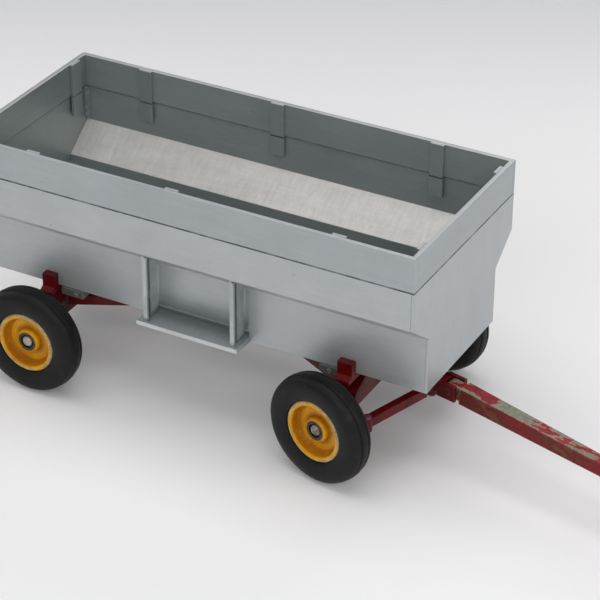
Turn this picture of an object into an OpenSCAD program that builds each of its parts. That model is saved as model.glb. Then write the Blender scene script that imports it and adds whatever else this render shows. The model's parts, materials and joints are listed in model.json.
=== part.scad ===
/* [Box] */
// Length of the box over the end panels
box_l = 200; // [180:1:220]
// Width of the box over the side sheets at the rim
box_w = 88.4; // [84:0.2:92]
// Height of the rim above the ground
rim_z = 106.2; // [102:0.2:110]
// Height of the joint between the main box and the extension boards
seam_z = 91.6; // [88:0.2:95]
// Height where the sides start to slope inward
kink_z = 75.2; // [73:0.2:78]
// Height where the inward slope ends and the lower wall begins
low_z = 64.4; // [62:0.2:67]
// How far the lower wall stands in from the upper wall
inset = 14.1; // [12:0.1:16]
// Height of the underside of the box
box_z = 40; // [39.5:0.1:40.5]
// Thickness of the box sheets
sheet_t = 1.2; // [0.8:0.1:1.5]
// Thickness of the extension boards
board_t = 2.0; // [1.6:0.1:2.4]

/* [Straps] */
// Width of each inner stake strap
strap_w = 6; // [4:0.5:8]
// Thickness of each inner stake strap
strap_t = 1.5; // [1:0.1:2]
// Height of the lower end of the straps
strap_z = 82.7; // [80:0.1:86]

/* [Chute] */
// Half width of the discharge opening
door_hw = 22.4; // [20:0.1:23]
// Height of the top of the discharge opening
door_top = 63.0; // [58:0.1:64]
// Height of the gate's lower edge above the ground at rest
gate_z = 43.9; // [43.6:0.1:45]
// How far the tray reaches out from the lower wall
tray_out = 10.8; // [8:0.1:13]
// Thickness of the tray
tray_t = 2; // [1.5:0.1:2.5]
// Thickness of the sliding gate
gate_t = 1.0; // [0.8:0.1:1.2]

/* [Running gear] */
// Front axle position along the box
front_x = 66.4; // [64:0.1:69]
// Rear axle position along the box
rear_x = -69.6; // [-72:0.1:-67]
// Distance of the kingpins from the centre line
king_y = 34; // [33.5:0.1:34.5]
// Length of the steering arms
arm_l = 12; // [11.6:0.1:14]
// Steered angle at rest, negative to the right
steer0 = -12.3; // [-15:0.1:0]
// Position of the drawbar yoke pivot ahead of the box centre
yoke_x = 77.6; // [77:0.1:78.4]

/* [Wheels] */
// Tyre outside radius
tyre_r = 23; // [22.8:0.05:23.6]
// Tyre width
tyre_w = 11; // [10:0.2:11.4]
// Rim outside radius
rim_r = 13.2; // [13:0.1:13.6]
// Distance of the tyre's outer face from the centre line, straight ahead
track_hw = 53.1; // [53:0.1:53.6]
// Radius of the wheel pins
pin_r = 1.8; // [1.6:0.05:2]

/* [Tongue] */
// Distance from the yoke pivot to the tongue pin
tpin_d = 22.6; // [22.4:0.1:23]
// Length of the tongue from its pin to the hitch eye
tongue_l = 105; // [90:1:120]
// Height of the tongue at its root
tongue_h0 = 7.3; // [6.6:0.1:7.4]
// Height of the tongue near its tip
tongue_h1 = 5.5; // [5:0.1:6]
// Width of the tongue at its root
tongue_w0 = 6.5; // [6:0.1:7]
// Width of the tongue near its tip
tongue_w1 = 4.8; // [4.4:0.1:5.6]
// Downward pitch of the tongue at rest
tongue_p = 3.7; // [2:0.1:5]
// Radius of the hitch eye's bore
eye_r = 2.15; // [2:0.05:2.5]

/* [Hidden] */
$fn = 48;

hl = box_l / 2;
// shift that puts the origin under the middle of the whole wagon, tongue included
tip_x = yoke_x + cos(steer0) * (tpin_d + tongue_l * cos(tongue_p));
tip_n = sin(tongue_p) * cos(steer0);
ox = -(tip_x + 5 * sqrt(1 - tip_n * tip_n) + 1.9 * tip_n - hl) / 2;
oy = 0;
hw = box_w / 2;
lw = hw - inset;                 // half width of the lower box
wz = tyre_r;                     // wheel centre height
sl = (kink_z - low_z) / inset;   // rise of the side slope per mm outward
floor_far = 55;                  // floor height at the far wall
floor_near = 42.6;               // floor height at the gate
pz = 28.3;                       // height of the tongue pin
ax0 = 24.2;                      // underside of the axle beams
bz = 37.4;                       // underside of the bolsters
gy = lw - sheet_t - 0.1;         // outer face of the gate, distance from the centre line
fs = (floor_far - floor_near) / (2 * gy - gate_t - 0.4);
grey = [0.62, 0.65, 0.67];
grey2 = [0.55, 0.59, 0.62];
red = [0.42, 0.07, 0.10];
bright = [0.72, 0.13, 0.12];
yellow = [0.87, 0.62, 0.16];
black = [0.12, 0.12, 0.13];
metal = [0.55, 0.50, 0.45];

module place() { translate([ox, oy, 0]) children(); }

// outline of the box in the YZ plane, out by d from the sheets' inner faces
function prof(d) = [[-lw - d, box_z], [lw + d, box_z], [lw + d, low_z], [hw + d, kink_z], [hw + d, seam_z],
  [-hw - d, seam_z], [-hw - d, kink_z], [-lw - d, low_z]];

// draws a YZ outline between two X stations
module along_x(x0, x1) { translate([x0, 0, 0]) rotate([90, 0, 90]) linear_extrude(x1 - x0) children(); }

// ---------- box ----------
module side_outline(s) {
  k = sheet_t;
  n = k * (sqrt(1 + sl * sl) - 1) / sl;   // keeps the sloped part at full thickness
  polygon([[s * lw, box_z], [s * lw, low_z], [s * hw, kink_z], [s * hw, seam_z],
    [s * (hw - k), seam_z], [s * (hw - k), kink_z + n], [s * (lw - k), low_z + n], [s * (lw - k), box_z]]);
}
module side_sheet(s) {
  color(grey) place() difference() {
    along_x(-hl + sheet_t, hl - sheet_t) side_outline(s);
    if (s < 0) translate([-door_hw, -lw - 1, box_z - 1]) cube([2 * door_hw, sheet_t + 2, door_top - box_z + 1]);
  }
}
module end_panel(s) {
  color(grey) place() along_x(s > 0 ? hl - sheet_t : -hl, s > 0 ? hl : -hl + sheet_t) polygon(prof(0));
}
function floor_z(y) = floor_near + (y + gy - gate_t - 0.2) * fs;
module floor_panel() {
  y0 = -lw + sheet_t; y1 = lw - sheet_t;
  color(grey2) place() difference() {
    along_x(-hl + sheet_t, hl - sheet_t)
      polygon([[y0, floor_z(y0)], [y1, floor_z(y1)], [y1, floor_z(y1) - 1.2], [y0, floor_z(y0) - 1.2]]);
    // room for the gate behind the wall
    translate([-24.4, y0 - 1, 30]) cube([48.8, -gy + gate_t + 0.2 - y0 + 1, 20]);
  }
}
// sloping end of the floor, running from the end panel down to the gate's edge
module floor_slope(s) {
  x1 = hl - sheet_t; x0 = 27; z1 = 62; z0 = 42.9;
  y0 = -lw + sheet_t; y1 = lw - sheet_t;
  color(grey2) place() intersection() {
    translate([0, y1, 0]) rotate([90, 0, 0]) linear_extrude(y1 - y0)
      polygon([[s * x0, z0], [s * x1, z1], [s * x1, z1 - 1.3], [s * (x0 + 4), z0]]);
    translate([-hl, 0, 0]) rotate([90, 0, 90]) linear_extrude(2 * hl)
      polygon([[y0, floor_z(y0)], [y1, floor_z(y1)], [y1, 70], [y0, 70]]);
  }
}
module long_board(s) {
  color(grey) place() translate([-hl, s > 0 ? hw - board_t : -hw, seam_z]) cube([box_l, board_t, rim_z - seam_z]);
}
module end_board(s) {
  color(grey) place() translate([s > 0 ? hl - board_t : -hl, -hw + board_t, seam_z])
    cube([board_t, box_w - 2 * board_t, rim_z - seam_z]);
}
strap_xs = [-67.5, -4.5, 67.5];
strap_ys = [-33.5, 33.5];
module stake_straps() {
  h = rim_z - strap_z;
  color(grey2) place() {
    for (s = [-1, 1], x = strap_xs)
      translate([x - strap_w / 2, s > 0 ? hw - board_t - strap_t : -hw + board_t, strap_z]) cube([strap_w, strap_t, h]);
    for (s = [-1, 1], y = strap_ys)
      translate([s > 0 ? hl - board_t - strap_t : -hl + board_t, y - strap_w / 2, strap_z]) cube([strap_t, strap_w, h]);
  }
}
module corner_strips() {
  a = 1.9; x = hl - sheet_t; y = hw - sheet_t;
  color(grey2) place() for (sx = [-1, 1], sy = [-1, 1])
    translate([0, 0, kink_z + 1.5]) linear_extrude(seam_z - kink_z - 2)
      polygon([[sx * x, sy * y], [sx * (x - a), sy * y], [sx * x, sy * (y - a)]]);
}

// ---------- discharge chute ----------
module chute_tray() {
  color(grey) place() {
    translate([-23, -lw - tray_out, box_z]) cube([46, tray_out, tray_t]);
    // lip that runs in under the gate
    translate([-22, -lw - 1, box_z]) cube([44, 6, 1.1]);
  }
}
module chute_plate(x) {
  o = 9.6; z0 = box_z + tray_t;
  color(grey) place() {
    translate([x, 0, 0]) rotate([90, 0, 90]) linear_extrude(0.9)
      polygon([[-lw, z0], [-lw - o, z0], [-lw - o, low_z + o * sl], [-lw, low_z]]);
    translate([x, -lw - o, z0]) linear_extrude(low_z + (o - 1.1) * sl - z0) square([1.8, 1.1]);
  }
}
module gate_guide(s) {
  color(grey2) place() translate([0, 0, 42.9]) linear_extrude(20.6)
    polygon([[s * 24.2, -gy - 0.1], [s * 26, -gy - 0.1], [s * 26, -gy + gate_t + 1.2], [s * 22.6, -gy + gate_t + 1.2],
      [s * 22.6, -gy + gate_t + 0.12], [s * 24.2, -gy + gate_t + 0.12]]);
}
module discharge_gate() {
  w = 24.0; n = 3.0;
  color(grey) place() translate([0, -gy + gate_t, 0]) rotate([90, 0, 0]) linear_extrude(gate_t)
    polygon([[-w, gate_z + n], [-w + 3.4, gate_z + n], [-w + 3.4, gate_z], [w - 3.4, gate_z], [w - 3.4, gate_z + n],
      [w, gate_z + n], [w, 65.4], [-w, 65.4]]);
}

// ---------- running gear ----------
module sill(x0, x1) {
  color(grey2) place() translate([x0, -31, 36.6]) cube([x1 - x0, 62, box_z - 36.6]);
}
module sill_bolts() {
  color(metal) place() for (x = [58.6, -58], y = [-1, 1])
    translate([x, y * 31, 38.2]) rotate([y * -90, 0, 0]) cylinder(r = 1.0, h = 0.6, $fn = 6);
}
module bolster(x) {
  color(red) place() translate([x - 3, -lw - 0.2, bz]) cube([6, 2 * lw + 0.4, box_z - bz]);
}
// posts at the bolster ends, each on a splayed foot
module bolster_stakes() {
  a = lw + 0.2;
  // where each pair of posts starts along the wagon, and how wide it is
  color(red) place() for (p = [[front_x - 3.15, 6.6], [rear_x - 2.85, 5.7]], s = [-1, 1])
    translate([p[0], 0, 0]) rotate([90, 0, 90]) linear_extrude(p[1])
      polygon([[s * a, bz], [s * (a + 5.6), bz], [s * (a + 5.6), 38.8], [s * (a + 3.4), 40.2], [s * (a + 3.4), 45.7], [s * a, 45.7]]);
}
module reach_pole() {
  color(red) place() translate([rear_x + 3.2, -2.75, 30.2]) cube([front_x - 3.2 - rear_x - 3.2, 5.5, 4]);
}
module yoke_bracket() {
  color(red) place() difference() {
    translate([front_x + 3.6, -5, 31.2]) cube([yoke_x + 5 - front_x - 3.6, 10, 3.6]);
    translate([yoke_x, 0, 30]) cylinder(r = 2, h = 6);
  }
}
// one straight brace in plan between two points
module brace(p, q, w, z0, z1) {
  d = q - p; a = atan2(d[1], d[0]); l = norm(d);
  translate([p[0], p[1], z0]) rotate(a) translate([0, -w / 2, 0]) cube([l, w, z1 - z0]);
}
module front_hounds() {
  color(red) place() for (s = [-1, 1]) brace([20, s * 5], [62, s * 26.4], 2.6, 29.6, 33.8);
}
module rear_hounds() {
  color(red) place() for (s = [-1, 1]) brace([-23, s * 5], [-65.2, s * 26.4], 2.6, 29.6, 33.8);
}
// truss-shaped beam outline in the YZ plane
beam = [[-34, ax0], [34, ax0], [34, 28.6], [30.8, 28.6], [30.2, 30.4], [16.4, bz], [-16.4, bz], [-30.2, 30.4], [-30.8, 28.6], [-34, 28.6]];
module front_axle_beam() {
  color(red) place() difference() {
    union() {
      along_x(front_x - 3.2, front_x + 3.6) polygon(beam);
      for (s = [-1, 1]) translate([front_x, s * king_y, 21.8]) cylinder(r = 3.2, h = 6.8);
    }
    for (s = [-1, 1]) translate([front_x, s * king_y, 20]) cylinder(r = 1.5, h = 10);
  }
}
module rear_axle_beam() {
  color(red) place() difference() {
    union() {
      along_x(rear_x - 3.2, rear_x + 3.2) polygon(beam);
      for (s = [-1, 1]) translate([rear_x - 3.2, s > 0 ? 32 : -41, 19]) cube([6.4, 9, 11]);
      for (s = [-1, 1]) translate([rear_x, s * 42.9, wz]) rotate([s * 90, 0, 0]) cylinder(r = 3.1, h = 3);
    }
    for (s = [-1, 1]) translate([rear_x, s * 44, wz]) rotate([s * 90, 0, 0]) cylinder(r = pin_r, h = 11);
  }
}
module kingpins() {
  color(metal) place() for (s = [-1, 1]) translate([front_x, s * king_y, 0]) {
    translate([0, 0, 18.2]) cylinder(r = 1.5, h = 12.9);
    translate([0, 0, 31.1]) cylinder(r1 = 2.4, r2 = 1.8, h = 0.9);
  }
}
// everything that turns with a front wheel is built straight ahead and then steered
module steered(s) { translate([front_x, s * king_y, 0]) rotate(steer0) children(); }
module knuckle(s) {
  web0 = 4.0; web1 = 6.6; lo = 18.6; up = 28.8; et = 2.2; at = 3.0;
  color(red) place() steered(s) difference() {
    union() {
      translate([-2.9, s > 0 ? 0 : -web1, up]) cube([5.8, web1, et]);
      translate([0, 0, up]) cylinder(r = 2.9, h = et);
      translate([-2.9, s > 0 ? 0 : -web1, lo]) cube([5.8, web1, at]);
      translate([0, 0, lo]) cylinder(r = 2.9, h = at);
      translate([-2.9, s > 0 ? web0 : -web1, lo]) cube([5.8, web1 - web0, up + et - lo]);
      translate([0, s * (web1 - 0.5), wz]) rotate([s * -90, 0, 0]) cylinder(r = 3.1, h = 8.9 - web1 + 0.5);
      translate([0, -2, lo + at - 1.6]) cube([arm_l, 4, 1.6]);
      translate([arm_l, 0, lo + at - 1.6]) cylinder(r = 2.1, h = 1.6);
    }
    translate([0, 0, lo - 1]) cylinder(r = 1.56, h = 16);
    translate([arm_l, 0, lo - 1]) cylinder(r = 1.1, h = 5);
    translate([0, s * (web0 - 0.01), wz]) rotate([s * -90, 0, 0]) cylinder(r = pin_r, h = 6);
  }
}
module arm_rivet(s) {
  color(metal) place() steered(s) translate([arm_l, 0, 0]) {
    translate([0, 0, 19.7]) cylinder(r = 1.1, h = 6.4);
    translate([0, 0, 26.1]) cylinder(r1 = 2.0, r2 = 1.3, h = 0.8);
  }
}
// steering rod: outer eye over the arm, half-lapped inner eye at the yoke
rod_v = [yoke_x - front_x, -king_y];
module tie_rod(s) {
  v = [rod_v[0], s * rod_v[1]]; a = atan2(v[1], v[0]); l = norm(v);
  z0 = 21.9; z1 = 25.9; zm = 23.9; g = 0.1;
  c = cos(steer0) * arm_l; d = sin(steer0) * arm_l;
  color(red) place() translate([front_x + c, s * king_y + d, 0]) rotate(a) difference() {
    union() {
      translate([0, 0, z0]) cylinder(r = 2.1, h = z1 - z0);
      translate([0, -1.7, z0]) cube([l - 4.2, 3.4, z1 - z0]);
      translate([l - 4.3, -1.7, s < 0 ? zm + g : z0]) cube([4.3, 3.4, zm - g - z0]);
      translate([l, 0, s < 0 ? zm + g : z0]) cylinder(r = 2.5, h = zm - g - z0);
    }
    translate([0, 0, z0 - 1]) cylinder(r = 1.16, h = 6);
    translate([l, 0, z0 - 1]) cylinder(r = 1.26, h = 6);
  }
}
module yawed() { translate([yoke_x, 0, 0]) rotate(steer0) children(); }
module steering_yoke() {
  w = 2.65; t = 1.5;
  color(red) place() yawed() difference() {
    union() {
      translate([0, 0, 26.2]) cylinder(r = 4.4, h = 4.7);
      translate([0, -w - t, 26.2]) cube([tpin_d - 3.3, 2 * (w + t), 4.7]);
      // cheeks either side of the tongue
      for (s = [-1, 1]) translate([tpin_d - 5, s > 0 ? w : -w - t, pz - 3.6]) cube([8.6, t, 7.2]);
    }
    translate([0, 0, 25]) cylinder(r = 2.06, h = 7);
    translate([arm_l, 0, 25]) cylinder(r = 1.2, h = 4);
    translate([tpin_d, 6, pz]) rotate([90, 0, 0]) cylinder(r = 1.3, h = 12);
  }
}
module yoke_pivot_bolt() {
  color(metal) place() translate([yoke_x, 0, 0]) {
    translate([0, 0, 25.6]) cylinder(r = 2, h = 9.6);
    translate([0, 0, 24.8]) cylinder(r1 = 2.4, r2 = 3.2, h = 0.8);
    translate([0, 0, 34.8]) cylinder(r = 3.3, h = 1.4, $fn = 6);
  }
}
module rod_pin() {
  color(metal) place() yawed() translate([arm_l, 0, 0]) {
    translate([0, 0, 21.5]) cylinder(r = 1.2, h = 6.4);
    translate([0, 0, 20.4]) cylinder(r1 = 1.5, r2 = 2.3, h = 1.1);
  }
}
module tongue_pin() {
  color(metal) place() yawed() translate([tpin_d, 0, pz]) rotate([90, 0, 0]) {
    translate([0, 0, -4.1]) cylinder(r = 1.3, h = 8.2);
  }
}
module tongue() {
  l = tongue_l; a = tongue_w0 / 2; b = tongue_w1 / 2; c = tongue_h0 / 2; d = tongue_h1 / 2; e = 1.9; sh = 5.2;
  color(bright) place() yawed() translate([tpin_d, 0, pz]) rotate([0, tongue_p, 0]) difference() {
    union() {
      // tang between the yoke's cheeks
      rotate([90, 0, 0]) translate([0, 0, -2.5]) cylinder(r = 2.95, h = 5);
      translate([0, -2.5, -2.95]) cube([sh, 5, 5.9]);
      // tapered bar
      intersection() {
        translate([0, 0, -10]) linear_extrude(20) polygon([[sh, -a], [l - 9, -b], [l - 3, -b], [l - 3, b], [l - 9, b], [sh, a]]);
        translate([0, 10, 0]) rotate([90, 0, 0]) linear_extrude(20)
          polygon([[sh, -c], [l - 13, -d], [l - 8, -e], [l - 3, -e], [l - 3, e], [l - 8, e], [l - 13, d], [sh, c]]);
      }
      // flattened hitch eye
      translate([l, 0, -e]) cylinder(r = 5, h = 2 * e);
    }
    rotate([90, 0, 0]) translate([0, 0, -4]) cylinder(r = 1.36, h = 8);
    translate([l, 0, -3]) cylinder(r = eye_r, h = 6);
  }
}

// ---------- wheels ----------
// all wheel solids are turned about Y, with v measured inward from the tyre's outer face
module wheel_at(s, front) {
  if (front) steered(s) translate([0, s * (track_hw - king_y), wz]) rotate([s * 90, 0, 0]) children();
  else translate([rear_x, s * track_hw, wz]) rotate([s * 90, 0, 0]) children();
}
module rim(s, front) {
  w = tyre_w; r = rim_r;
  color(yellow) place() wheel_at(s, front) rotate_extrude($fn = 96) polygon(concat(
    [[pin_r + 0.06, 3.2], [2.9, 3.0], [2.9, 2.2], [4.3, 2.2], [5.0, 2.9], [5.6, 4.7], [9.6, 5.1], [10.6, 3.6], [r - 2.4, 1.4], [r - 1.9, 0.9], [r - 0.8, 0.9], [r - 0.2, 1.3], [r, 1.9]],
    [[r, w - 1.9], [r - 0.5, w - 1.5], [r - 1.4, w - 1.5], [r - 1.7, 7.2], [5.2, 6.8], [4.6, w - 1.2], [pin_r + 0.06, w - 1.2]]));
}
module tyre(s, front) {
  w = tyre_w; r = tyre_r; h = w / 2;
  half = [[rim_r + 0.02, 0.9], [rim_r + 0.9, 0.4], [rim_r + 2.2, 0.12], [17, 0], [18.7, 0.1], [r - 2.8, 0.45], [r - 1.6, 1.0], [r - 0.85, 1.75], [r - 0.45, 2.6], [r - 0.35, 3.1],
    [r - 0.75, 3.3], [r - 0.75, 3.7], [r - 0.2, 3.95], [r - 0.05, 4.7]];
  color(black) place() wheel_at(s, front) rotate_extrude($fn = 120)
    polygon(concat(half, [[r, h]], [for (i = [len(half) - 1 : -1 : 0]) [half[i][0], w - half[i][1]]]));
}
module wheel_pin(s, front) {
  // inner end stays in the axle; outer end is upset in the hub's recess
  in_v = front ? track_hw - king_y - 4.2 : track_hw - 33.2;
  color(metal) place() wheel_at(s, front) {
    translate([0, 0, 2.6]) cylinder(r = pin_r, h = in_v - 2.6);
    translate([0, 0, 1.95]) cylinder(r1 = 1.7, r2 = 2.35, h = 0.65);
  }
}

side_sheet(-1);  // side_sheet_near
side_sheet(1);  // side_sheet_far
end_panel(1);  // front_panel
end_panel(-1);  // rear_panel
floor_panel();
floor_slope(1);  // front_floor_slope
floor_slope(-1);  // rear_floor_slope
long_board(-1);  // extension_near
long_board(1);  // extension_far
end_board(1);  // extension_front
end_board(-1);  // extension_rear
stake_straps();
corner_strips();
chute_tray();
chute_plate(19.3);  // chute_plate_front
chute_plate(-20.2);  // chute_plate_rear
gate_guide(1);  // gate_guide_front
gate_guide(-1);  // gate_guide_rear
discharge_gate();
sill(54.2, 62.8);  // front_sill
sill(-65.0, -54.8);  // rear_sill
sill_bolts();
bolster(front_x + 0.5);  // front_bolster
bolster(rear_x + 1.2);  // rear_bolster
bolster_stakes();
reach_pole();
yoke_bracket();
front_hounds();
rear_hounds();
front_axle_beam();
rear_axle_beam();
kingpins();
knuckle(-1);  // knuckle_near
knuckle(1);  // knuckle_far
tie_rod(-1);  // tie_rod_near
tie_rod(1);  // tie_rod_far
steering_yoke();
yoke_pivot_bolt();
arm_rivet(-1);  // arm_rivet_near
arm_rivet(1);  // arm_rivet_far
rod_pin();
tongue();
tongue_pin();
rim(-1, true);  // rim_front_near
rim(1, true);  // rim_front_far
rim(-1, false);  // rim_rear_near
rim(1, false);  // rim_rear_far
tyre(-1, true);  // tyre_front_near
tyre(1, true);  // tyre_front_far
tyre(-1, false);  // tyre_rear_near
tyre(1, false);  // tyre_rear_far
wheel_pin(-1, true);  // wheel_pin_front_near
wheel_pin(1, true);  // wheel_pin_front_far
wheel_pin(-1, false);  // wheel_pin_rear_near
wheel_pin(1, false);  // wheel_pin_rear_far
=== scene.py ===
import bpy, bmesh, math, json, random
from mathutils import Vector, Matrix


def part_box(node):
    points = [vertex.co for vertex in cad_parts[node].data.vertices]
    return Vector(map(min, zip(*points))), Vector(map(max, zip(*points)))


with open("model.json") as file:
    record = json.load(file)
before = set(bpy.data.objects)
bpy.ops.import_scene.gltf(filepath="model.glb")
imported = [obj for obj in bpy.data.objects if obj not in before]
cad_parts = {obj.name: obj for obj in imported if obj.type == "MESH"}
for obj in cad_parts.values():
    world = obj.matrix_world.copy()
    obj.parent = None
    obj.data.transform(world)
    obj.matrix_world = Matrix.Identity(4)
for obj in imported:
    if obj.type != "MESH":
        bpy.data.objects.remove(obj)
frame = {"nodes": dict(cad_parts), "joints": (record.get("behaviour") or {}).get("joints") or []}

random.seed(11)
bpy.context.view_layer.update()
N = frame["nodes"]
JOINTS = {j["name"]: j for j in frame["joints"]}
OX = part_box("front_panel")[1].x * 1000 - 100

# light strengths
POWER = {"world": 0.10, "top": 9.6, "near_left": 2.5, "near": 6.6, "near_right": 5.0, "right": 5.9, "left": 4.7, "behind": 4.6}


def C(x, y, z):
    """A point in construction millimetres, in the row frame in metres."""
    return Vector(((x + OX) / 1000, y / 1000, z / 1000))


def lin(r, g, b):
    """sRGB 0-255 to linear."""
    f = lambda v: v / 12.92 if v <= 0.04045 else ((v + 0.055) / 1.055) ** 2.4
    return (f(r / 255), f(g / 255), f(b / 255))


# ---------------------------------------------------------------- camera
az, el, roll = (math.radians(a) for a in (28.431, 31.34, 0.32))
back = Vector((math.sin(az) * math.cos(el), -math.cos(az) * math.cos(el), math.sin(el)))
fwd = -back
right = fwd.cross(Vector((0, 0, 1))).normalized()
up2 = right.cross(fwd)
R = math.cos(roll) * right + math.sin(roll) * up2
U = -math.sin(roll) * right + math.cos(roll) * up2
cam_data = bpy.data.cameras.new("camera")
cam_data.sensor_width = 36
cam_data.lens = 141.916
cam_data.clip_start = 0.02
cam_data.clip_end = 50
cam = bpy.data.objects.new("camera", cam_data)
bpy.context.scene.collection.objects.link(cam)
M = Matrix((R, U, back)).transposed().to_4x4()
M.translation = C(413.797, -711.16, 537.26)
cam.matrix_world = M
bpy.context.scene.camera = cam
bpy.context.scene.view_settings.view_transform = "Standard"
bpy.context.scene.view_settings.look = "None"

# ---------------------------------------------------------------- light
world = bpy.data.worlds.new("studio")
bpy.context.scene.world = world
world.use_nodes = True
wt = world.node_tree
wt.nodes.clear()
wo = wt.nodes.new("ShaderNodeOutputWorld")
wb = wt.nodes.new("ShaderNodeBackground")
wb.inputs["Color"].default_value = (0.97, 0.985, 1.0, 1)
wb.inputs["Strength"].default_value = POWER["world"]
wc = wt.nodes.new("ShaderNodeBackground")
wc.inputs["Color"].default_value = (0.80, 0.81, 0.83, 1)
wl = wt.nodes.new("ShaderNodeLightPath")
wm = wt.nodes.new("ShaderNodeMixShader")
wt.links.new(wl.outputs["Is Camera Ray"], wm.inputs[0])
wt.links.new(wb.outputs[0], wm.inputs[1])
wt.links.new(wc.outputs[0], wm.inputs[2])
wt.links.new(wm.outputs[0], wo.inputs[0])


def area(name, at, to, size, power, colour=(1, 1, 1)):
    if power <= 0:
        return
    d = bpy.data.lights.new(name, "AREA")
    d.shape = "SQUARE"
    d.size = size
    d.energy = power
    d.color = colour
    o = bpy.data.objects.new(name, d)
    bpy.context.scene.collection.objects.link(o)
    o.location = at
    o.rotation_euler = (Vector(to) - Vector(at)).to_track_quat("-Z", "Y").to_euler()


for name, at, size in (
    ("top", (0.0, 0.0, 1.5), 1.3),
    ("near_left", (-1.0, -1.1, 1.0), 1.0),
    ("near", (0.2, -1.5, 0.9), 1.0),
    ("near_right", (1.1, -1.0, 1.0), 1.0),
    ("right", (1.5, 0.1, 0.75), 0.9),
    ("left", (-1.5, 0.0, 0.8), 0.9),
    ("behind", (0.0, 1.4, 1.0), 1.0),
):
    area(name, at, (0, 0, 0.04), size, POWER[name])


# ---------------------------------------------------------------- node graphs
class G:
    def __init__(s, name, metallic=0.0, spec=0.5):
        s.m = bpy.data.materials.new(name)
        s.m.use_nodes = True
        s.t = s.m.node_tree
        s.t.nodes.clear()
        s.b = s.t.nodes.new("ShaderNodeBsdfPrincipled")
        o = s.t.nodes.new("ShaderNodeOutputMaterial")
        s.t.links.new(s.b.outputs[0], o.inputs[0])
        s.b.inputs["Metallic"].default_value = metallic
        s.b.inputs["Specular IOR Level"].default_value = spec
        tc = s.t.nodes.new("ShaderNodeTexCoord")
        s.co, s.nm = tc.outputs["Object"], tc.outputs["Normal"]

    def put(s, sock, v):
        if isinstance(v, bpy.types.NodeSocket):
            s.t.links.new(v, sock)
        elif isinstance(v, (tuple, list, Vector)):
            v = tuple(v)
            sock.default_value = v + (1.0,) if sock.type == "RGBA" and len(v) == 3 else v
        else:
            sock.default_value = v

    def new(s, kind, **inputs):
        n = s.t.nodes.new(kind)
        for k, v in inputs.items():
            s.put(n.inputs[k.replace("_", " ")], v)
        return n

    def map(s, vec, scale=(1, 1, 1), loc=(0, 0, 0), rot=(0, 0, 0)):
        return s.new("ShaderNodeMapping", Vector=vec, Scale=scale, Location=loc, Rotation=rot).outputs[0]

    def noise(s, vec, scale, detail=3.0, rough=0.55, dist=0.0):
        n = s.new("ShaderNodeTexNoise", Vector=vec, Scale=scale, Detail=detail, Roughness=rough, Distortion=dist)
        return n.outputs[0]

    def voronoi(s, vec, scale):
        return s.new("ShaderNodeTexVoronoi", Vector=vec, Scale=scale).outputs["Distance"]

    def rng(s, v, a, b, c=0.0, d=1.0, smooth=True):
        n = s.t.nodes.new("ShaderNodeMapRange")
        n.interpolation_type = "SMOOTHSTEP" if smooth else "LINEAR"
        for i, x in enumerate((v, a, b, c, d)):
            s.put(n.inputs[i], x)
        return n.outputs[0]

    def math(s, op, a, b=0.0, clamp=False):
        n = s.t.nodes.new("ShaderNodeMath")
        n.operation = op
        n.use_clamp = clamp
        s.put(n.inputs[0], a)
        s.put(n.inputs[1], b)
        return n.outputs[0]

    def mul(s, *v):
        r = v[0]
        for x in v[1:]:
            r = s.math("MULTIPLY", r, x)
        return r

    def add(s, *v):
        r = v[0]
        for x in v[1:]:
            r = s.math("ADD", r, x)
        return r

    def mix(s, f, a, b, blend="MIX"):
        n = s.t.nodes.new("ShaderNodeMix")
        n.data_type = "RGBA"
        n.blend_type = blend
        s.put(n.inputs[0], f)
        s.put(n.inputs[6], a)
        s.put(n.inputs[7], b)
        return n.outputs[2]

    def vec(s, op, a, b=None, out=0, scale=None):
        n = s.t.nodes.new("ShaderNodeVectorMath")
        n.operation = op
        s.put(n.inputs[0], a)
        if b is not None:
            s.put(n.inputs[1], b)
        if scale is not None:
            s.put(n.inputs["Scale"], scale)
        return n.outputs[out]

    def dot(s, a, b):
        return s.vec("DOT_PRODUCT", a, b, out=1)

    def sep(s, v):
        n = s.new("ShaderNodeSeparateXYZ", Vector=v)
        return n.outputs

    def shade(s, colour, value):
        return s.vec("SCALE", colour, scale=value)

    def edge(s, radius, lo=0.03, hi=0.30):
        bv = s.t.nodes.new("ShaderNodeBevel")
        bv.samples = 4
        bv.inputs["Radius"].default_value = radius
        ge = s.t.nodes.new("ShaderNodeNewGeometry")
        d = s.dot(bv.outputs[0], ge.outputs["Normal"])
        return s.rng(s.math("SUBTRACT", 1.0, d), lo, hi)

    def bump(s, height, strength, dist):
        n = s.new("ShaderNodeBump", Strength=strength, Distance=dist, Height=height)
        return n.outputs[0]

    def done(s, colour, rough, normal=None):
        s.put(s.b.inputs["Base Color"], colour)
        s.put(s.b.inputs["Roughness"], rough)
        if normal is not None:
            s.put(s.b.inputs["Normal"], normal)
        return s.m


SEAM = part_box("extension_near")[0].z
OUTER = lin(178, 183, 185)
INNER = lin(140, 148, 147)
SLOPE = lin(218, 216, 213)
FAR = lin(153, 161, 160)
# light grey for the painted highlight on up-facing faces
TOP_LIGHT_COLOUR = lin(206, 209, 209)


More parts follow.
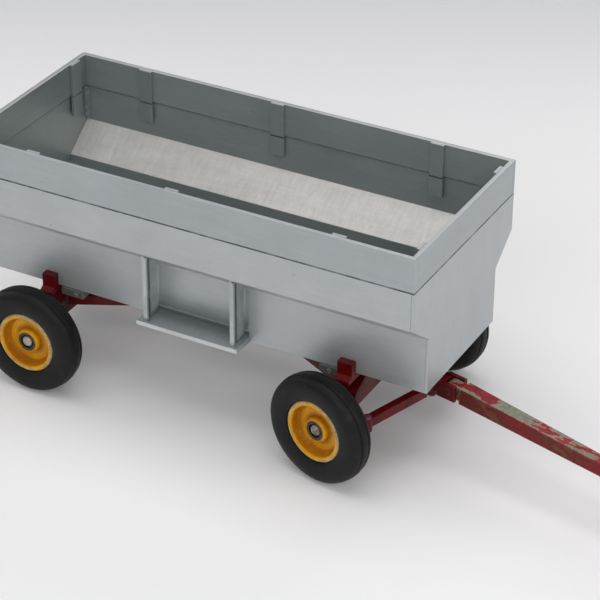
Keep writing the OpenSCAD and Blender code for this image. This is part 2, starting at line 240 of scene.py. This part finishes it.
def box_paint(name, inward, along="x", outer=OUTER, inner=INNER, slope=SLOPE, seed=0.0, paint_top_light=True, worn=0.5, metal=0.45, shade_dirt_ramp=None):
    """Brushed silver-grey paint: outer face, darker inner face, bright brushed slopes, rubbed edges, a painted
    highlight on up-facing faces, a painted shadow along the seam and an optional darker ramp of painted shade
    with some dirt.
    """
    g = G(name, metallic=metal, spec=0.5)
    nx, ny, nz = g.sep(g.nm)
    off = (seed, seed * 1.7, seed * 0.6)
    sc = {"x": (45, 900, 900), "y": (900, 45, 900), "z": (900, 900, 45)}[along]
    streak = g.noise(g.map(g.co, sc, off), 1.0, 4, 0.65)
    daub = g.noise(g.map(g.co, {"x": (60, 150, 150), "y": (150, 60, 150), "z": (150, 150, 60)}[along], off), 1.0, 4, 0.6, 0.6)
    cloud = g.noise(g.map(g.co, (1, 1, 1), off), 24, 4, 0.6)
    fine = g.noise(g.co, 2200, 2, 0.5)
    inn = g.dot(g.nm, inward)
    is_in = g.rng(inn, 0.70, 0.88)
    is_slope = g.mul(g.rng(nz, 0.22, 0.38), g.rng(inn, 0.12, 0.3))
    col = g.mix(is_in, outer, inner)
    col = g.mix(is_slope, col, slope)
    v = g.add(
        1.0,
        g.mul(g.math("SUBTRACT", streak, 0.5), 0.20),
        g.mul(g.math("SUBTRACT", cloud, 0.5), 0.30),
        g.mul(g.math("SUBTRACT", daub, 0.5), g.rng(is_slope, 0, 1, 0.15, 0.26)),
        g.mul(g.math("SUBTRACT", g.noise(g.map(g.co, (560, 110, 110), off), 1.0, 4, 0.7, 0.8), 0.5), g.rng(is_slope, 0, 1, 0.0, 0.42)),
        g.mul(g.math("SUBTRACT", fine, 0.5), 0.12),
    )
    col = g.shade(col, v)
    # dark specks and pale scuffs
    speck = g.rng(g.noise(g.map(g.co, (1, 1, 1), off), 420, 2, 0.5), 0.75, 0.79)
    col = g.mix(g.mul(speck, 0.3), col, lin(96, 96, 92))
    scuff = g.rng(g.noise(g.map(g.co, (130, 420, 420), off), 1.0, 3, 0.7, 1.2), 0.68, 0.76)
    col = g.mix(g.mul(scuff, 0.2), col, lin(226, 228, 228))
    # optional darker ramp along one axis: painted shade with some dirt
    px, py, pz = g.sep(g.co)
    if shade_dirt_ramp:
        axis, a, b, amount = shade_dirt_ramp
        shade_dirt_mask = g.rng(g.add({"y": py, "z": pz}[axis], g.mul(g.math("SUBTRACT", daub, 0.5), 0.006)), a, b)
        col = g.mix(g.mul(shade_dirt_mask, amount), col, lin(74, 82, 78))
    # painted shadow: a dark band along the seam under the extension boards
    seam_shadow = g.rng(g.math("ABSOLUTE", g.math("SUBTRACT", pz, SEAM)), 0.00022, 0.0005, 1.0, 0.0)
    col = g.mix(g.mul(seam_shadow, g.rng(g.noise(g.co, 110, 3), 0.35, 0.55, 0.45, 0.95)), col, lin(74, 80, 82))
    e = g.edge(0.0006)
    col = g.mix(g.mul(e, g.rng(seam_shadow, 0, 1, 1.0, 0.2), g.rng(g.noise(g.co, 300, 3), 0.35, 0.6, 0.1, worn)), col, lin(214, 217, 218))
    # painted highlight: up-facing faces are mixed toward a light grey, as if lit from above
    if paint_top_light:
        col = g.mix(g.mul(g.rng(nz, 0.9, 0.97), g.rng(cloud, 0.25, 0.55, 0.7, 1.0)), col, TOP_LIGHT_COLOUR)
    rough = g.rng(g.add(g.mul(streak, 0.5), g.mul(cloud, 0.5)), 0.3, 0.7, 0.32, 0.46)
    h = g.add(g.mul(streak, 0.45), g.mul(fine, 0.2), g.mul(daub, 0.5), g.mul(cloud, 0.6))
    return g.done(col, rough, g.bump(h, 0.22, 0.00010))


def red_paint(name, base=(96, 7, 13), top=(112, 16, 21), dark=(52, 5, 8), seed=0.0, chip=0.5):
    g = G(name, spec=0.22)
    nx, ny, nz = g.sep(g.nm)
    off = (seed, seed * 0.7, seed * 1.3)
    cloud = g.noise(g.map(g.co, (1, 1, 1), off), 70, 4, 0.6)
    fine = g.noise(g.map(g.co, (1, 1, 1), off), 900, 3, 0.6)
    col = g.mix(g.rng(cloud, 0.35, 0.7), lin(*base), lin(*dark))
    # painted highlight: up-facing faces are mixed toward the lighter top red
    col = g.mix(g.mul(g.rng(nz, 0.3, 0.9), 0.45), col, lin(*top))
    col = g.shade(col, g.rng(fine, 0.2, 0.8, 0.85, 1.15))
    e = g.edge(0.0007)
    worn = g.rng(g.add(g.mul(e, 0.35), g.noise(g.map(g.co, (1, 1, 1), off), 380, 4, 0.65)), 0.80, 0.86)
    col = g.mix(g.mul(worn, chip), col, lin(126, 112, 100))
    spot = g.rng(g.noise(g.map(g.co, (1, 1, 1), off), 260, 3, 0.6), 0.68, 0.71)
    col = g.mix(g.mul(spot, 0.6), col, lin(88, 52, 40))
    rough = g.rng(cloud, 0.3, 0.7, 0.34, 0.5)
    h = g.add(g.mul(fine, 0.4), g.mul(cloud, 0.5), g.mul(worn, -0.6))
    return g.done(col, rough, g.bump(h, 0.35, 0.00012))


def tongue_paint(name):
    """Bright red top with large grey-green chips, darker red-brown sides with rusty patches; the top's brighter
    red is painted top light.
    """
    g = G(name, spec=0.3)
    nx, ny, nz = g.sep(g.nm)
    big = g.noise(g.map(g.co, (52, 130, 130), (0.3, 0, 0)), 1.0, 5, 0.58, 0.6)
    mid = g.noise(g.map(g.co, (190, 420, 420), (0.9, 0, 0)), 1.0, 4, 0.6, 0.4)
    fine = g.noise(g.co, 900, 3, 0.6)
    is_top = g.rng(nz, 0.55, 0.8)
    e = g.edge(0.0009, 0.02, 0.22)
    red = g.mix(g.rng(mid, 0.35, 0.7), lin(150, 17, 25), lin(112, 15, 20))
    grey = g.mix(g.rng(fine, 0.3, 0.7), lin(112, 118, 104), lin(142, 140, 122))
    # distance out along the bar and across it
    jp = JOINTS["tongue_lift"]["pos_m"]
    lift = JOINTS["tongue_lift"]["axis"]
    sg = 1.0 if lift[1] > 0 else -1.0
    side_v = (lift[0] * sg, lift[1] * sg, 0.0)
    along_v = (side_v[1], -side_v[0], 0.0)
    rel = g.vec("SUBTRACT", g.co, tuple(jp))
    al, ac = g.dot(rel, along_v), g.dot(rel, side_v)
    near_edge = g.mul(g.rng(ac, -0.0008, -0.0024), g.rng(al, 0.017, 0.013), 0.10)
    plate_c = g.mul(g.rng(al, 0.019, 0.023), g.rng(al, 0.039, 0.034), 0.11)
    clean = g.mul(g.rng(al, 0.005, 0.008), g.rng(al, 0.021, 0.018), -0.05)
    tone = g.add(g.mul(big, 0.62), g.mul(mid, 0.38), g.mul(e, 0.06), near_edge, plate_c, clean)
    chips = g.rng(tone, 0.505, 0.520)
    rim = g.rng(tone, 0.488, 0.505)
    top = g.mix(g.mul(rim, 0.75), red, lin(190, 150, 132))
    top = g.mix(chips, top, grey)
    sred = g.mix(g.rng(big, 0.38, 0.6), lin(122, 18, 22), lin(96, 28, 18))
    brown = g.mix(g.rng(fine, 0.3, 0.7), lin(118, 56, 22), lin(98, 64, 44))
    sp = g.rng(g.add(g.mul(big, 0.45), g.mul(mid, 0.55)), 0.53, 0.56)
    side = g.mix(g.mul(sp, g.rng(al, 0.010, 0.018)), sred, brown)
    # painted top light: up-facing faces take the brighter top red, the rest the darker side red
    col = g.mix(is_top, side, top)
    near_pin = g.vec("LENGTH", rel, out=1)
    gap = g.mul(g.rng(al, 0.0056, 0.0050), g.rng(mid, 0.3, 0.6, 0.6, 1.0))
    col = g.mix(g.mul(gap, g.rng(nz, 0.7, 0.4)), col, g.mix(g.rng(fine, 0.35, 0.65), lin(112, 100, 88), lin(76, 50, 40)))
    pale = g.mul(e, g.rng(g.noise(g.map(g.co, (200, 500, 500)), 1.0, 4, 0.6), 0.42, 0.56))
    col = g.mix(g.mul(pale, 0.85), col, lin(206, 190, 172))
    col = g.shade(col, g.rng(fine, 0.2, 0.8, 0.86, 1.12))
    rough = g.rng(mid, 0.3, 0.7, 0.36, 0.58)
    h = g.add(g.mul(fine, 0.3), g.mul(chips, -0.9), g.mul(sp, -0.3))
    return g.done(col, rough, g.bump(h, 0.5, 0.00014))


def radius_of(g, joint):
    """Distance from a wheel's own axis, and distance along it, in metres."""
    j = JOINTS[joint]
    p = g.vec("SUBTRACT", g.co, tuple(j["pos_m"]))
    c = g.vec("CROSS_PRODUCT", p, tuple(j["axis"]))
    return g.vec("LENGTH", c, out=1), g.dot(p, tuple(j["axis"]))


def rim_paint(name, joint, seed, rr):
    """Worn yellow-orange enamel: rr is the rim's outer radius."""
    g = G(name, spec=0.28)
    r, a = radius_of(g, joint)
    off = (seed, seed * 2.1, seed * 0.4)
    cloud = g.noise(g.map(g.co, (1, 1, 1), off), 120, 4, 0.6)
    fine = g.noise(g.map(g.co, (1, 1, 1), off), 700, 3, 0.6)
    col = g.mix(g.rng(cloud, 0.32, 0.7), lin(222, 160, 1), lin(200, 132, 0))
    # painted shade at the foot of the dish, round the boss and on the dish wall below the lip
    col = g.mix(g.mul(g.rng(r, 0.0076, 0.0060), g.rng(r, 0.0048, 0.0056), g.rng(cloud, 0.3, 0.6, 0.35, 0.8)), col, lin(138, 78, 4))
    col = g.mix(g.mul(g.rng(r, 0.0088, 0.0100), g.rng(r, rr - 0.0018, rr - 0.0028), g.rng(fine, 0.3, 0.6, 0.45, 0.9)), col, lin(150, 84, 4))
    # bare worn metal and dirt round the axle end
    col = g.mix(g.rng(r, 0.0044, 0.0040), col, g.mix(g.rng(fine, 0.35, 0.65), lin(84, 66, 46), lin(44, 32, 24)))
    # painted shadow: the gap round the axle end is near-black
    col = g.mix(g.rng(r, 0.0032, 0.0029), col, lin(30, 22, 17))
    # rubbed lip
    lip = g.mul(g.rng(r, rr - 0.0017, rr - 0.0010), g.rng(g.add(g.mul(cloud, 0.5), g.mul(fine, 0.5)), 0.38, 0.52))
    col = g.mix(g.mul(lip, 0.92), col, g.mix(g.rng(fine, 0.3, 0.7), lin(120, 120, 84), lin(188, 178, 142)))
    out = g.rng(r, rr - 0.0005, rr - 0.0001)
    col = g.mix(g.mul(out, 0.7), col, lin(74, 64, 44))
    spot = g.rng(g.noise(g.map(g.co, (1, 1, 1), off), 420, 3, 0.6), 0.68, 0.72)
    col = g.mix(g.mul(spot, 0.7), col, lin(118, 74, 24))
    col = g.shade(col, g.rng(fine, 0.2, 0.8, 0.92, 1.08))
    rough = g.rng(cloud, 0.3, 0.7, 0.30, 0.44)
    return g.done(col, rough, g.bump(g.add(g.mul(fine, 0.4), g.mul(lip, -0.7)), 0.3, 0.0001))


def rubber(name, joint, seed):
    g = G(name, spec=0.26)
    r, a = radius_of(g, joint)
    off = (seed, seed * 1.1, seed * 2.4)
    cloud = g.noise(g.map(g.co, (1, 1, 1), off), 60, 4, 0.6)
    fine = g.noise(g.map(g.co, (1, 1, 1), off), 1100, 3, 0.6)
    col = g.mix(g.rng(cloud, 0.3, 0.7), lin(10, 10, 12), lin(16, 15, 15))
    dust = g.mul(g.rng(g.noise(g.map(g.co, (1, 1, 1), off), 260, 4, 0.65), 0.56, 0.68), g.rng(r, 0.0165, 0.021, 0.3, 1.0))
    col = g.mix(g.mul(dust, 0.10), col, lin(80, 75, 68))
    rings = g.math("SINE", g.mul(r, 5200.0))
    col = g.shade(col, g.rng(fine, 0.2, 0.8, 0.88, 1.12))
    rough = g.rng(cloud, 0.3, 0.7, 0.42, 0.56)
    h = g.add(g.mul(fine, 0.35), g.mul(rings, g.mul(0.12, g.rng(r, 0.0205, 0.0185))))
    return g.done(col, rough, g.bump(h, 0.3, 0.0001))


def steel(name, base=(150, 140, 128), rust=(98, 68, 50), seed=0.0, metallic=0.75, amount=0.5):
    g = G(name, metallic=metallic, spec=0.5)
    off = (seed, seed * 1.9, seed * 0.3)
    cloud = g.noise(g.map(g.co, (1, 1, 1), off), 240, 4, 0.65)
    fine = g.noise(g.map(g.co, (1, 1, 1), off), 1300, 3, 0.6)
    col = g.mix(g.mul(g.rng(cloud, 0.42, 0.62), amount + 0.3), lin(*base), lin(*rust))
    col = g.mix(g.mul(g.edge(0.0004), 0.5), col, lin(206, 200, 190))
    col = g.shade(col, g.rng(fine, 0.2, 0.8, 0.85, 1.15))
    return g.done(col, g.rng(cloud, 0.3, 0.7, 0.34, 0.58), g.bump(fine, 0.4, 0.0001))


# ---------------------------------------------------------------- carried-over nodes
def soften_group():
    ng = bpy.data.node_groups.new("soft_shading", "GeometryNodeTree")
    ng.interface.new_socket("Geometry", in_out="INPUT", socket_type="NodeSocketGeometry")
    ng.interface.new_socket("Geometry", in_out="OUTPUT", socket_type="NodeSocketGeometry")
    gi, go = ng.nodes.new("NodeGroupInput"), ng.nodes.new("NodeGroupOutput")
    rem = ng.nodes.new("GeometryNodeRemoveAttribute")
    rem.inputs["Name"].default_value = "custom_normal"
    me = ng.nodes.new("GeometryNodeMergeByDistance")
    me.inputs["Distance"].default_value = 3e-6
    s1 = ng.nodes.new("GeometryNodeSetShadeSmooth")
    s1.domain = "FACE"
    s1.inputs["Shade Smooth"].default_value = True
    ang = ng.nodes.new("GeometryNodeInputMeshEdgeAngle")
    cmp = ng.nodes.new("FunctionNodeCompare")
    cmp.data_type = "FLOAT"
    cmp.operation = "GREATER_THAN"
    cmp.inputs[1].default_value = math.radians(28)
    s2 = ng.nodes.new("GeometryNodeSetShadeSmooth")
    s2.domain = "EDGE"
    s2.inputs["Shade Smooth"].default_value = False
    L = ng.links.new
    L(gi.outputs[0], rem.inputs[0])
    L(rem.outputs[0], me.inputs[0])
    L(me.outputs[0], s1.inputs[0])
    L(s1.outputs[0], s2.inputs[0])
    L(ang.outputs[0], cmp.inputs[0])
    L(cmp.outputs[0], s2.inputs["Selection"])
    L(s2.outputs[0], go.inputs[0])
    return ng


SOFT = soften_group()


def soften(o, width, segments=2, dissolve=True, angle=34):
    m = o.modifiers.new("soft", "NODES")
    m.node_group = SOFT
    if dissolve:
        d = o.modifiers.new("flat", "DECIMATE")
        d.decimate_type = "DISSOLVE"
        d.angle_limit = math.radians(0.4)
    if width:
        b = o.modifiers.new("bevel", "BEVEL")
        b.width = width
        b.segments = segments
        b.limit_method = "ANGLE"
        b.angle_limit = math.radians(angle)
        b.harden_normals = True
        b.use_clamp_overlap = True
        b.miter_outer = "MITER_ARC"


def dress(node, mat, width=0.0002, **kw):
    o = N.get(node)
    if o is None:
        return
    if not o.material_slots:
        o.data.materials.append(mat)
    for s in o.material_slots:
        s.material = mat
    soften(o, width, **kw)


X, Y, Z = (1, 0, 0), (0, 1, 0), (0, 0, 1)
neg = lambda v: tuple(-c for c in v)
EXT = lin(167, 173, 176)
dress("side_sheet_near", box_paint("paint_side_near", Y, "x", seed=1.0), 0.00022)
dress("side_sheet_far", box_paint("paint_side_far", neg(Y), "x", inner=FAR, seed=2.0), 0.00022)
dress("front_panel", box_paint("paint_front", neg(X), "z", seed=3.0), 0.00022)
dress("rear_panel", box_paint("paint_rear", X, "z", seed=4.0), 0.00022)
dress("extension_near", box_paint("paint_ext_near", Y, "x", outer=EXT, seed=5.0), 0.00025)
dress("extension_far", box_paint("paint_ext_far", neg(Y), "x", outer=EXT, inner=FAR, seed=6.0), 0.00025)
dress("extension_front", box_paint("paint_ext_front", neg(X), "y", outer=EXT, seed=7.0), 0.00025)
dress("extension_rear", box_paint("paint_ext_rear", X, "y", outer=EXT, seed=8.0), 0.00025)
dress("floor_panel", box_paint("paint_floor", Z, "x", outer=INNER, inner=INNER, slope=INNER, seed=9.0, paint_top_light=False), 0.0002)
dress("front_floor_slope", box_paint("paint_front_slope", Z, "y", outer=INNER, inner=INNER, slope=INNER, seed=10.0, paint_top_light=False), 0.0002)
dress("rear_floor_slope", box_paint("paint_rear_slope", Z, "y", outer=INNER, inner=INNER, slope=INNER, seed=11.0, paint_top_light=False), 0.0002)
# straps: up-facing faces take the light top colour, a painted highlight
strap = box_paint("paint_straps", Z, "z", outer=lin(146, 154, 153), inner=TOP_LIGHT_COLOUR, slope=FAR, seed=12.0)
# solder beads: up-facing faces take the lighter grey, a painted highlight
solder = box_paint("paint_solder", Z, "z", outer=lin(134, 142, 141), inner=lin(160, 166, 165), slope=lin(140, 148, 147), seed=12.5, paint_top_light=False, worn=0.1)
dress("stake_straps", strap, 0.0002)
dress("corner_strips", solder, 0)
rm = N["corner_strips"].modifiers.new("lumps", "REMESH")
rm.mode = "VOXEL"
rm.voxel_size = 0.0003
rm.use_smooth_shade = True
tex = bpy.data.textures.new("lumps", "CLOUDS")
tex.noise_scale = 0.0022
dm = N["corner_strips"].modifiers.new("rough", "DISPLACE")
dm.texture = tex
dm.texture_coords = "LOCAL"
dm.strength = 0.0008
dm.mid_level = 0.5
lo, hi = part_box("chute_tray")
# painted shade with some dirt: the tray darkens towards the gate
dress("chute_tray", box_paint("paint_tray", Z, "x", outer=lin(200, 204, 203), inner=lin(176, 182, 182), slope=OUTER, seed=13.0, worn=1.0, paint_top_light=False, shade_dirt_ramp=("y", lo.y + 0.002, hi.y - 0.006, 0.38)), 0.0002)
def plate_paint(name):
    """Plain light grey, with a thin painted shadow behind the front edge and painted shade at the foot."""
    g = G(name, metallic=0.2, spec=0.5)
    px, py, pz = g.sep(g.co)
    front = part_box("chute_plate_front")[0].y
    cloud = g.noise(g.co, 160, 4, 0.6)
    fine = g.noise(g.co, 1400, 3, 0.6)
    col = g.shade(g.mix(g.rng(cloud, 0.3, 0.7), lin(188, 193, 192), lin(168, 174, 173)), g.rng(fine, 0.2, 0.8, 0.93, 1.06))
    # painted shadow: a dark band just behind the front edge
    front_shadow = g.mul(g.rng(py, front + 0.0020, front + 0.0026), g.rng(py, front + 0.0046, front + 0.0036))
    col = g.mix(g.mul(front_shadow, g.rng(cloud, 0.3, 0.5, 0.45, 0.85)), col, lin(70, 76, 76))
    # painted shade: darker at the foot where the plate meets the tray
    plate_base_shade = g.rng(g.add(pz, g.mul(g.math("SUBTRACT", cloud, 0.5), 0.006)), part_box("chute_tray")[1].z + 0.0022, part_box("chute_tray")[1].z)
    col = g.mix(g.mul(plate_base_shade, 0.6), col, lin(70, 76, 74))
    return g.done(col, 0.42, g.bump(g.add(fine, cloud), 0.3, 0.0001))


plate = plate_paint("paint_plates")
for n in ("chute_plate_front", "chute_plate_rear", "gate_guide_front", "gate_guide_rear"):
    dress(n, plate, 0)
lo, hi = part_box("discharge_gate")
# painted shade with some dirt: the gate darkens towards its foot
dress("discharge_gate", box_paint("paint_gate", Y, "x", seed=15.0, shade_dirt_ramp=("z", lo.z + 0.0095, lo.z - 0.001, 0.48)), 0.0002)

gear = red_paint("paint_gear", seed=1.0)
gear2 = red_paint("paint_gear_light", base=(106, 7, 13), dark=(62, 6, 9), seed=2.0)
for n in ("front_sill", "rear_sill"):
    dress(n, box_paint("paint_" + n, Z, "y", outer=lin(112, 118, 116), inner=lin(112, 118, 116), slope=lin(112, 118, 116), seed=16.0, paint_top_light=False), 0.0003)
for n in ("reach_pole", "yoke_bracket", "front_hounds", "rear_hounds", "rear_axle_beam", "front_axle_beam", "rear_spacers"):
    dress(n, gear, 0.0003)
for n in ("front_bolster", "rear_bolster", "bolster_stakes", "knuckle_near", "knuckle_far", "tie_rod_near", "tie_rod_far", "steering_yoke"):
    dress(n, gear2, 0.0003)
dress("tongue", tongue_paint("paint_tongue"), 0.0005, segments=3)
# the yoke's up-facing faces get a lighter red, a painted highlight
for o, m in (("steering_yoke", red_paint("paint_yoke", base=(104, 12, 18), top=(138, 32, 36), dark=(66, 16, 14), seed=5.0, chip=0.9)),):
    for sl in N[o].material_slots:
        sl.material = m
bolt = steel("bolt_steel", base=(120, 104, 96), rust=(92, 60, 48), seed=1.0)
rivet = steel("rivet_steel", base=(128, 70, 74), rust=(96, 44, 46), seed=2.0, metallic=0.35)
dress("sill_bolts", steel("sill_bolt_steel", base=(186, 184, 178), rust=(120, 112, 104), seed=4.0), 0.00015)
for n in ("kingpins", "yoke_pivot_bolt", "rod_pin"):
    dress(n, bolt, 0.00015)
dress("tongue_pin", red_paint("paint_pin", base=(92, 20, 20), seed=7.0, chip=0.9), 0.0001)
for n in ("arm_rivet_near", "arm_rivet_far"):
    dress(n, rivet, 0.0002)
for i, w in enumerate(("front_near", "front_far", "rear_near", "rear_far")):
    lo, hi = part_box("rim_" + w)
    dress("rim_" + w, rim_paint("rim_paint_" + w, w + "_spin", 1.3 * i + 0.4, (hi.z - lo.z) / 2), 0.0002)
    dress("tyre_" + w, rubber("rubber_" + w, w + "_spin", 0.7 * i + 0.2), 0.00015, angle=50)
    dress("wheel_pin_" + w, steel("axle_steel_" + w, base=(176, 168, 156), rust=(78, 58, 44), seed=3.0 + i, metallic=0.5), 0.0003)

# ---------------------------------------------------------------- floor
g = G("floor_paper", spec=0.2)
cloud = g.noise(g.co, 1.6, 2, 0.5)
# seamless paper with painted light falloff: a touch cooler and darker far away from the object
dist = g.dot(g.co, (-0.4066, 0.751, 0.0))
far = g.rng(dist, 0.16, 0.46)
col = g.mix(far, lin(252, 251, 252), lin(215, 216, 222))
col = g.shade(col, g.rng(cloud, 0.3, 0.7, 0.995, 1.005))
floor_mat = g.done(col, 0.75)
bm = bmesh.new()
bmesh.ops.create_grid(bm, x_segments=8, y_segments=8, size=4.0)
me = bpy.data.meshes.new("floor")
bm.to_mesh(me)
bm.free()
floor = bpy.data.objects.new("floor", me)
bpy.context.scene.collection.objects.link(floor)
floor.location = (0, 0, -0.0002)
floor.data.materials.append(floor_mat)
